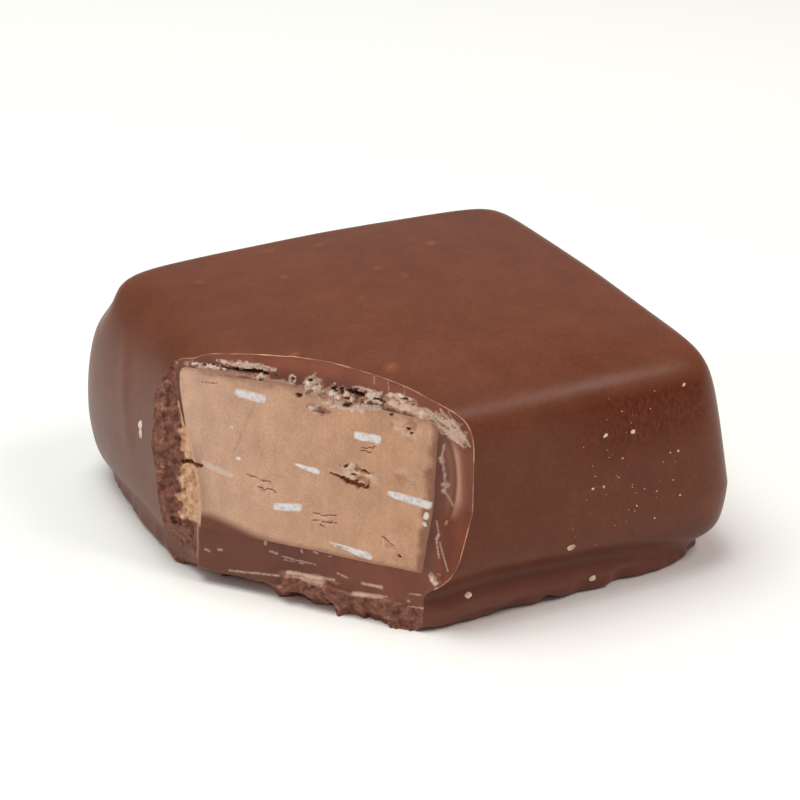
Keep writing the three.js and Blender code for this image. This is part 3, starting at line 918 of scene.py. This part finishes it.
# Nougat dragged across the cut chocolate by the blade: from u, v, to u, v, half width
SMEARS = [
    (-1.97, 2.71, 0.1, 2.63, 0.04), (-1.9, 2.52, -0.7, 2.52, 0.025), (-1.61, 1.87, 1.27, 1.97, 0.08),
    (-1.2, 1.66, 0.6, 1.72, 0.06), (1.45, 2.41, 2.07, 2.24, 0.055), (2.99, 2.13, 4.15, 2.13, 0.08),
    (2.52, 1.43, 4.54, 1.61, 0.07), (5.81, 2.08, 6.62, 2.2, 0.04), (-5.25, 1.17, -2.11, 1.52, 0.06),
    (-3.09, 3.38, -3.09, 3.24, 0.07), (-2.8, 2.86, -2.6, 2.86, 0.06), (-2.42, 2.83, -2.34, 2.81, 0.06),
    (-0.85, 3.34, -0.78, 3.22, 0.045), (-0.05, 3.38, 0.16, 3.36, 0.04), (0.86, 3.31, 1.0, 3.31, 0.035),
    (5.8, 1.66, 5.86, 1.64, 0.07), (-6.85, 2.15, -6.6, 2.1, 0.06), (-6.05, 2.3, -5.8, 2.32, 0.05),
    (-7.48, 3.46, -7.45, 1.47, 0.055), (5.81, 1.33, 7.01, 1.53, 0.03), (7.01, 1.53, 7.11, 2.22, 0.035),
    (7.11, 2.22, 7.3, 2.52, 0.045),
]
# Nougat that stayed on the broken coat, and films of it on the cut above and below the slab: u, v, half
# length, half height, turn
NOUGAT_ON_BREAK = [(-8.55, 6.1, 0.48, 0.85, 0), (-8.5, 4.6, 0.5, 1.0, 3), (-8.6, 8.35, 0.36, 0.75, 8)]
NOUGAT_FILM = [
    (-6.0, 12.98, 2.5, 0.22, 2), (-2.6, 12.85, 1.2, 0.16, -4), (5.3, 12.7, 1.7, 0.3, -9),
    (-0.2, 1.8, 1.4, 0.26, 2), (3.6, 2.12, 0.6, 0.12, 0), (3.5, 1.5, 1.1, 0.14, 5),
]
# Thin crooked lips of chocolate beside the hollow and below it: from u, v, to u, v, half width
LIPS = [
    (7.3, 11.14, 7.24, 10.2, 0.05), (7.24, 10.2, 7.34, 9.29, 0.05), (7.34, 9.29, 7.4, 8.41, 0.055),
    (7.4, 8.41, 7.91, 7.61, 0.04), (7.2, 10.34, 7.24, 10.16, 0.13), (7.34, 8.86, 7.44, 8.78, 0.15),
    (7.3, 8.5, 7.34, 8.4, 0.09), (7.11, 6.68, 7.32, 5.92, 0.035), (7.32, 5.92, 7.23, 5.68, 0.08),
    (7.23, 5.68, 7.54, 4.64, 0.045), (7.47, 5.51, 8.16, 4.05, 0.035), (7.05, 3.6, 7.2, 3.45, 0.08),
    (7.2, 3.45, 7.5, 2.8, 0.045),
]


def smeared(u, v):
    """How much nougat and chocolate the blade smeared over the cut coat."""
    crooked = u + 0.12 * lumps(0 * u, v, 0.9, 97, 1)
    return np.maximum(0.7 * strongest_line(SMEARS, u, v, 0.5), 0.8 * strongest_line(LIPS, crooked, v, 0.2))


def section_tone(u, v):
    """Lightness of the cut chocolate: the top is thin and is painted lighter, as painted light coming through
    it, the right is lighter, the lower left is darkest.
    """
    top = (0.3 + 0.65 * ramp(13.2, 14.1, v + 0.026 * np.maximum(u, 0) ** 2)) * ramp(12.4, 12.9, v)
    right = 0.32 * ramp(6.6, 7.6, u) + 0.3 * ramp(8.0, 8.5, u)
    base = (0.12 + 0.38 * ramp(-2, 4, u)) * ramp(4.2, 3.2, v)
    return np.maximum.reduce([top, right, base])


def within(tree, share, parts, limits):
    """Share narrowed to a region: an axis for each limit, and where the region begins and is full."""
    for axis, begins, full in limits:
        share = product(tree, share, remapped(tree, parts[axis], begins * MM, full * MM))
    return share


# Milk chocolate, enrobed and set: satin skin that mirrors the room softly, with slow cloudy changes of brown
skin, tree, shader, places = new_material("milk chocolate, enrobed and set")
parts = axes(tree, places)
clouds = noise(tree, places, 7.0, 4.0)
fine = noise(tree, places, 0.25, 2.0)
colour = tinted(tree, clouds, [(0.3, "#673725"), (0.7, "#703e2a")])
colour = mottled(tree, colour, fine, 0.07)
colour = mottled(tree, colour, noise(tree, places, 1.6), 0.06)
# The air bumps are painted paler and warmer: partly a warm tint of their own, partly a painted highlight
colour = mixed(tree, painted(tree, "bump_tint_and_highlight"), colour, linear("#a8623f"))
in_front = remapped(tree, parts["Y"], -12.6 * MM, -13.4 * MM)
# A patch on the front face where the coat ran thin: redder, and finely streaked from top to bottom
stretched = add(tree, "ShaderNodeMapping", {"Vector": places, "Scale": (1.0, 1.0, 0.45)})
runs = remapped(tree, noise(tree, stretched, 0.17, 4.0, 0.7), 0.36, 0.62)
patch_limits = [("X", 2.0, 7.5), ("X", 14.0, 12.2), ("Z", 7.6, 10.0), ("Z", 12.3, 11.5)]
patch = within(tree, in_front, parts, patch_limits)
colour = mixed(tree, patch, colour, linear("#6f3319"))
colour = mixed(tree, product(tree, product(tree, patch, runs), 0.7), colour, linear("#4d1b0b"))
# The foot is painted a little paler and greyer towards its bottom: a painted reflection of the white floor
colour = mixed(tree, remapped(tree, parts["Z"], 3.8 * MM, 1.2 * MM, 0.0, 0.6), colour, linear("#774a3e"))
# Above the foot, in the crease, the coat is painted darker: painted shade
thick = within(tree, in_front, parts, [("Z", 1.2, 2.2), ("Z", 3.8, 2.6)])
colour = mixed(tree, product(tree, thick, 0.3), colour, linear("#4c2d27"))
soft_relief = bumped(tree, noise(tree, places, 2.2), 0.12, 0.25)
feed(tree, shader, {
    "Base Color": colour,
    "Roughness": remapped(tree, clouds, 0.3, 0.7, 0.33, 0.40),
    "Normal": bumped(tree, fine, 0.12, 0.03, soft_relief),
    "IOR": 1.46,
    "Specular IOR Level": 0.22,
})

# Milk chocolate, cut and broken: the blade polishes it dark and glossy, a break is dull, rough and crumbly
section, tree, shader, places = new_material("milk chocolate, cut and broken")
crumb = noise(tree, places, 0.4, 4.0, 0.6)
dusty = remapped(tree, noise(tree, places, 0.12, 3.0, 0.7), 0.38, 0.62, 0.55, 1.0)
# Lightness of the section, with the thin top painted lighter as painted light coming through it
colour = mixed(tree, painted(tree, "tone_and_light"), linear("#643729"), linear("#93523b"))
colour = mottled(tree, colour, noise(tree, places, 1.6, 4.0), 0.14)
colour = stained(tree, colour, [
    ("rough", 1.0, tinted(tree, crumb, [(0.35, "#613729"), (0.68, "#9f6856")])),
    # Rim lumps and teeth: partly their own orange, partly painted light through their thin tips
    ("lip", 1.0, linear("#bd8268")),
    ("left", 1.0, tinted(tree, crumb, [(0.34, "#b98160"), (0.60, "#eec29c")])),
    # Painted shade on the wall of the hollow before its bright bar
    ("hollow_shade", 1.0, linear("#a66f5b")),
    # Torn crumbs, with painted shade in their gaps and a painted highlight on their tops
    ("torn", 1.0, tinted(tree, painted(tree, "crumb"), TORN_SHADE_AND_TINTS)),
    # Painted highlight: the bright bar in the hollow
    ("hollow_highlight", 1.0, linear("#ce9680")),
    ("tawny", 1.0, linear("#dcad95")),
    ("pale", dusty, linear("#dcc0af")),
    # Painted shade in the slits, the cracks and the gaps between flakes
    ("gap_shade", 1.0, linear("#40211a")),
])
pale_amount = product(tree, painted(tree, "pale"), dusty)
either = {0: painted(tree, "rough"), 1: pale_amount}
matt = add(tree, "ShaderNodeMath", either, operation="MAXIMUM")
feed(tree, shader, {
    "Base Color": colour,
    "Roughness": remapped(tree, matt, 0.0, 1.0, 0.30, 0.62),
    "Normal": bumped(tree, crumb, 0.25, 0.06),
    "IOR": 1.46,
    "Specular IOR Level": 0.36,
})

coat = ring_stack("chocolate_coat", coat_rings())
cavity = ring_stack("cavity", slab_rings())
coat_cutter = cut_away("coat_cutter", COAT_GRID, (-14.0, 11.0), (-1.0, 16.0))
coat.data.materials.append(skin)
cavity.data.materials.append(section)
coat_cutter.data.materials.append(section)
take_away(coat, cavity)
take_away(coat, coat_cutter)
bpy.data.objects.remove(cavity)
bpy.data.objects.remove(coat_cutter)
smooth_but_for(coat.data, lambda a, b: a.material_index != b.material_index)


def paint_coat(mesh):
    """Masks of the coat: those that every cut surface shares, and those of its own section and skin."""
    u, v = cut_places(mesh)
    paint_cut(mesh, u, v)
    below_ledge = ramp(0.15, -0.1, v - ledge_height(u)) * ramp(-2.6, -1.6, u)
    lower_break = ramp(1.0, 0.7, v)
    left_break = ramp(0.0, 0.3, break_edge(v) - u) * ramp(1.0, 2.2, v)
    paint(mesh, "rough", np.maximum.reduce([below_ledge, lower_break, left_break]))
    # Lightness of the section, with the thin top painted lighter as painted light coming through it
    paint(mesh, "tone_and_light", section_tone(u, v))
    paint(mesh, "pale", np.maximum(0.9 * pale_crumb(u, v), smeared(u, v)))
    fray_ground = 0.5 * strongest([(7.55, 12.2, 1.05, 0.5, -42)], u, v, 0.5)
    edge_film = 0.45 * strongest(NOUGAT_FILM, u, v, 0.6, 0.4)
    fibres = strongest_line(TAWNY_FIBRES, u, v, 0.3)
    paint(mesh, "tawny", np.maximum.reduce([fray_ground, edge_film, fibres]))
    # In the hollow a painted highlight, a bright bar sharp on its left, follows a recess painted greyish
    # brown as painted shade
    in_hollow = np.clip(1.4 * hollow_share(v), 0, 1)
    from_bar = from_hollow(u, v) - 0.16 + 0.05 * (v - HOLLOW_MIDDLE[1]) ** 2
    paint(mesh, "hollow_highlight", in_hollow * np.exp(-((from_bar / np.where(from_bar < 0, 0.08, 0.30)) ** 2)))
    paint(mesh, "hollow_shade", 0.7 * in_hollow * np.exp(-(((from_bar + 0.36) / 0.2) ** 2)))
    specks = ramp(0.0, 0.5, crumb_relief(u, v))
    # Orange on the raised tops of the rim lumps and teeth: partly their own colour, partly painted light
    # through their thin tips
    paint(mesh, "lip", 0.8 * specks * strongest(RIM_LUMPS, u, v, 0.9, 0.3))
    paint(mesh, "left", left_break * strongest(NOUGAT_ON_BREAK, u, v, 0.5, 0.5))
    # Air bumps painted paler and warmer, partly a painted highlight
    paint(mesh, "bump_tint_and_highlight", bump_tints_and_highlights(mesh))


paint_coat(coat.data)
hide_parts("chocolate_coating")
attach(coat, "root")


# Knife burr
#
# A hair-thin curl of chocolate that the blade raised along the top and right edge of the cut. It is thin
# enough to let light through, so it shows as a fine pale line.

BURR_RADIUS = 0.034
BURR_STEP = 0.12
BURR_LOWEST = 2.3
BURR_LEFT_END = -9.2
BURR_TOP_FROM = 12.7
BURR_RIGHT_FROM = 7.4


def burr_path(mesh):
    """Edges between skin and cut, along the top and the right of the cut, as a mesh of lines."""
    u, v = cut_places(mesh)
    along_edge = (v > BURR_TOP_FROM) | (u > BURR_RIGHT_FROM)
    raised = (v > BURR_LOWEST) & (u > BURR_LEFT_END) & along_edge
    form = bmesh.new()
    form.from_mesh(mesh)
    edges = []
    for line in form.edges:
        faces = line.link_faces
        between = len(faces) == 2 and faces[0].material_index != faces[1].material_index
        if between and all(raised[point.index] for point in line.verts):
            edges.append([point.index for point in line.verts])
    form.free()
    used = sorted({point for edge in edges for point in edge})
    number = {old: new for new, old in enumerate(used)}
    path = bpy.data.meshes.new("burr_path")
    points = [mesh.vertices[point].co.copy() for point in used]
    path.from_pydata(points, [[number[point] for point in edge] for edge in edges], [])
    return path


def named_socket(tree, name, kind, in_out="INPUT"):
    """Adds an input or an output to a geometry tree."""
    return tree.interface.new_socket(name=name, in_out=in_out, socket_type=kind)


# Chocolate, pared thin: warm and pale because light passes through it
pared, tree, shader, places = new_material("milk chocolate, pared thin")
colour = tinted(tree, noise(tree, places, 1.2), [(0.4, "#9a6048"), (0.62, "#d29a7c")])
feed(tree, shader, {"Base Color": colour, "Roughness": 0.4, "IOR": 1.46})

burr_tree = bpy.data.node_groups.new("burr along an edge", "GeometryNodeTree")
named_socket(burr_tree, "Path", "NodeSocketGeometry")
radius_input = named_socket(burr_tree, "Radius", "NodeSocketFloat")
named_socket(burr_tree, "Burr", "NodeSocketGeometry", "OUTPUT")
given = burr_tree.nodes.new("NodeGroupInput").outputs
line = add(burr_tree, "GeometryNodeMeshToCurve", {"Mesh": given["Path"]})
even = add(burr_tree, "GeometryNodeResampleCurve", {"Curve": line, "Length": BURR_STEP * MM}, mode="LENGTH")
waver = add(burr_tree, "ShaderNodeTexNoise", {"Scale": per_metre(0.9), "Detail": 3.0})
thick = product(burr_tree, remapped(burr_tree, waver, 0.3, 0.7, 0.35, 1.3), given["Radius"])
ring = add(burr_tree, "GeometryNodeCurvePrimitiveCircle", {"Resolution": 6, "Radius": 1.0})
sweep = {"Curve": even, "Profile Curve": ring, "Scale": thick, "Fill Caps": True}
tube = add(burr_tree, "GeometryNodeCurveToMesh", sweep)
whole = add(burr_tree, "GeometryNodeRealizeInstances", {"Geometry": tube})
coloured = add(burr_tree, "GeometryNodeSetMaterial", {"Geometry": whole, "Material": pared})
feed(burr_tree, burr_tree.nodes.new("NodeGroupOutput"), {"Burr": coloured})


def grown(name, source, tree, values):
    """Plain mesh piece from a geometry tree on a source mesh, with the tree's inputs set by identifier."""
    carrier = placed(name, source)
    modifier = carrier.modifiers.new(name, "NODES")
    modifier.node_group = tree
    for socket, value in values:
        modifier[socket.identifier] = value
    graph = bpy.context.evaluated_depsgraph_get()
    mesh = bpy.data.meshes.new_from_object(carrier.evaluated_get(graph))
    carrier.modifiers.remove(modifier)
    carrier.data = mesh
    for face in mesh.polygons:
        face.use_smooth = True
    return carrier


burr = grown("knife_burr", burr_path(coat.data), burr_tree, [(radius_input, BURR_RADIUS * MM)])
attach(burr, "root")


# Stray crumbs
#
# Specks of nougat that the knife flung onto the front and left face and left along the torn top of the
# filling. They stick to the chocolate where they fell.

# x, y, z near the face, and size across
FACE_CRUMBS = [
    (5.95, -14.04, 9.98, 0.4), (7.71, -14.04, 9.83, 0.4), (10.18, -14.27, 8.04, 0.15),
    (10.72, -14.25, 8.03, 0.22), (4.99, -14.44, 7.06, 0.22), (5.7, -14.45, 7.01, 0.22),
    (9.17, -14.57, 5.98, 0.18), (10.73, -14.59, 5.36, 0.18), (3.6, -14.7, 3.68, 0.64),
    (5.46, -13.96, 0.92, 0.62), (6.6, -14.6, 4.6, 0.18), (-2.61, -14.21, 2.07, 0.52),
    (-15.18, 2.86, 7.79, 0.8), (-15.15, 2.75, 7.3, 0.6), (11.31, -13.5, 11.74, 0.3),
]
FINE_SPECKS = 70
SPECK_MIDDLE = (7.6, -14.3, 7.6)
SPECK_SPREAD = (2.0, 2.4)
SPECK_SIZES = (0.05, 0.11)
TORN_CRUMBS = 130
TORN_CRUMB_SIZES = (0.05, 0.16)
CRUMB_SINK = 0.12
CRUMB_CATCH = 1.0
CRUMB_RAGGEDNESS = 0.17


def crumb_places(surface):
    """Points for the crumbs on the faces and on the torn part of the cut, and their sizes."""
    draw = np.random.default_rng(7)
    wanted = [(np.array(c[:3]), c[3]) for c in FACE_CRUMBS]
    for _ in range(FINE_SPECKS):
        x = draw.normal(SPECK_MIDDLE[0], SPECK_SPREAD[0])
        z = draw.normal(SPECK_MIDDLE[2], SPECK_SPREAD[1])
        wanted.append((np.array([x, SPECK_MIDDLE[1], z]), draw.uniform(*SPECK_SIZES)))
    for _ in range(TORN_CRUMBS):
        spot = PALE_SPOTS[draw.integers(len(PALE_SPOTS))]
        u = spot[0] + draw.normal(0, 0.5) * spot[2]
        v = spot[1] + draw.normal(0, 0.5) * spot[3]
        depth = float(cut_depth(np.array(u), np.array(v)))
        wanted.append((on_cut(u, v, -depth), draw.uniform(*TORN_CRUMB_SIZES)))
    places, normals, sizes = [], [], []
    for point, size in wanted:
        place, normal, _, distance = surface.find_nearest(Vector((point * MM).tolist()))
        if distance < CRUMB_CATCH * MM:
            places.append(place - CRUMB_SINK * size * MM * normal)
            normals.append(normal)
            sizes.append(size * MM)
    return places, normals, sizes


graph = bpy.context.evaluated_depsgraph_get()
crumb_points, crumb_normals, crumb_sizes = crumb_places(BVHTree.FromObject(coat, graph))
crumb_seed = bpy.data.meshes.new("crumb_points")
crumb_seed.from_pydata(crumb_points, [], [])
size_layer = crumb_seed.attributes.new("size", "FLOAT", "POINT")
size_layer.data.foreach_set("value", np.array(crumb_sizes, np.float32))
face_layer = crumb_seed.attributes.new("face", "FLOAT_VECTOR", "POINT")
face_layer.data.foreach_set("vector", np.array(crumb_normals, np.float32).ravel())

# Nougat crumb, dry: pale tan to cream, each a little different
dry_crumb, tree, shader, places = new_material("nougat crumb, dry")
colour = tinted(tree, noise(tree, places, 0.9, 2.0), [(0.3, "#bf957b"), (0.55, "#ecd7c0")])
feed(tree, shader, {"Base Color": colour, "Roughness": 0.7, "IOR": 1.45})

crumb_tree = bpy.data.node_groups.new("crumbs on points", "GeometryNodeTree")
named_socket(crumb_tree, "Points", "NodeSocketGeometry")
seed_input = named_socket(crumb_tree, "Seed", "NodeSocketInt")
rough_input = named_socket(crumb_tree, "Raggedness", "NodeSocketFloat")
named_socket(crumb_tree, "Crumbs", "NodeSocketGeometry", "OUTPUT")
given = crumb_tree.nodes.new("NodeGroupInput").outputs
ball = add(crumb_tree, "GeometryNodeMeshIcoSphere", {"Radius": 0.5, "Subdivisions": 2})
facing = add(crumb_tree, "GeometryNodeInputNamedAttribute", {"Name": "face"}, data_type="FLOAT_VECTOR")
turn = add(crumb_tree, "FunctionNodeAlignRotationToVector", {"Vector": facing}, axis="Z")
squeezes = {0: (0.8, 0.6, 0.35), 1: (1.2, 1.0, 0.6), "Seed": given["Seed"]}
squeeze = add(crumb_tree, "FunctionNodeRandomValue", squeezes, data_type="FLOAT_VECTOR")
own_size = add(crumb_tree, "GeometryNodeInputNamedAttribute", {"Name": "size"}, data_type="FLOAT")
scaled = add(crumb_tree, "ShaderNodeVectorMath", {0: squeeze, "Scale": own_size}, operation="SCALE")
spread = {"Points": given["Points"], "Instance": ball, "Rotation": turn, "Scale": scaled}
set_out = add(crumb_tree, "GeometryNodeInstanceOnPoints", spread)
whole = add(crumb_tree, "GeometryNodeRealizeInstances", {"Geometry": set_out})
chipped = add(crumb_tree, "ShaderNodeTexNoise", {"Scale": per_metre(0.22), "Detail": 1.0}, "Color")
centred = add(crumb_tree, "ShaderNodeVectorMath", {0: chipped, 1: (0.5, 0.5, 0.5)}, operation="SUBTRACT")
push = {0: centred, "Scale": given["Raggedness"]}
pushed = add(crumb_tree, "ShaderNodeVectorMath", push, operation="SCALE")
ragged = add(crumb_tree, "GeometryNodeSetPosition", {"Geometry": whole, "Offset": pushed})
coloured = add(crumb_tree, "GeometryNodeSetMaterial", {"Geometry": ragged, "Material": dry_crumb})
feed(crumb_tree, crumb_tree.nodes.new("NodeGroupOutput"), {"Crumbs": coloured})

crumb_values = [(seed_input, 3), (rough_input, CRUMB_RAGGEDNESS * MM)]
crumbs_piece = grown("nougat_crumbs", crumb_seed, crumb_tree, crumb_values)
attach(crumbs_piece, "root")


# Floor, light and camera
#
# A white sweep under a large soft box, with a smaller warm one over the front right, which draws the bright
# line along the front shoulder, and weak ones at the left and the back, in a dim room.

FLOOR_HALF = 1500.0
corners = [(-1, -1, 0), (1, -1, 0), (1, 1, 0), (-1, 1, 0)]
floor = mesh_object("floor", np.array(corners) * FLOOR_HALF, [(0, 1, 2, 3)])
paper, tree, shader, places = new_material("white paper sweep")
feed(tree, shader, {"Base Color": linear("#f7f6f5"), "Roughness": 0.8})
floor.data.materials.append(paper)

LIT_HEIGHT = 7.0


def soft_box(name, place, size, power, colour):
    """Square area light at a place in millimetres, turned towards the bite."""
    lamp = bpy.data.lights.new(name, "AREA")
    lamp.size = size * MM
    lamp.energy = power
    lamp.color = linear(colour)[:3]
    made = placed(name, lamp)
    made.location = Vector(place) * MM
    towards = Vector((0, 0, LIT_HEIGHT)) * MM - made.location
    made.rotation_euler = towards.to_track_quat("-Z", "Y").to_euler()


soft_box("overhead box", (-60, 60, 300), 240, 0.85, "#f6fff8")
soft_box("front right box", (150, -132, 258), 115, 0.37, "#fff1ea")
soft_box("left box", (-260, 60, 160), 200, 0.135, "#fff3ec")
soft_box("back box", (130, 270, 150), 200, 0.012, "#ffffff")

world = bpy.data.worlds.new("dim room")
world.use_nodes = True
background = world.node_tree.nodes["Background"]
feed(world.node_tree, background, {"Color": linear("#fff6f7"), "Strength": 0.22})
bpy.context.scene.world = world
bpy.context.scene.view_settings.view_transform = "Standard"

CAMERA_AZIMUTH = math.radians(-26.5)
CAMERA_ELEVATION = math.radians(26.2)
CAMERA_DISTANCE = 142.9
AIM_HEIGHT = 9.0
AIM_RIGHT = 0.11
AIM_DOWN = 1.49
SENSOR_WIDTH = 36.0
FOCAL_LENGTH = 107.9
NEAREST = 5.0
back = Vector((
    math.sin(CAMERA_AZIMUTH) * math.cos(CAMERA_ELEVATION),
    -math.cos(CAMERA_AZIMUTH) * math.cos(CAMERA_ELEVATION),
    math.sin(CAMERA_ELEVATION),
))
side = Vector((math.cos(CAMERA_AZIMUTH), math.sin(CAMERA_AZIMUTH), 0))
aim = Vector((0, 0, AIM_HEIGHT)) + AIM_RIGHT * side - AIM_DOWN * back.cross(side)
lens = bpy.data.cameras.new("camera")
lens.sensor_width = SENSOR_WIDTH
lens.lens = FOCAL_LENGTH
lens.clip_start = NEAREST * MM
camera = placed("camera", lens)
camera.location = (aim + CAMERA_DISTANCE * back) * MM
camera.rotation_euler = (-back).to_track_quat("-Z", "Y").to_euler()
bpy.context.scene.camera = camera
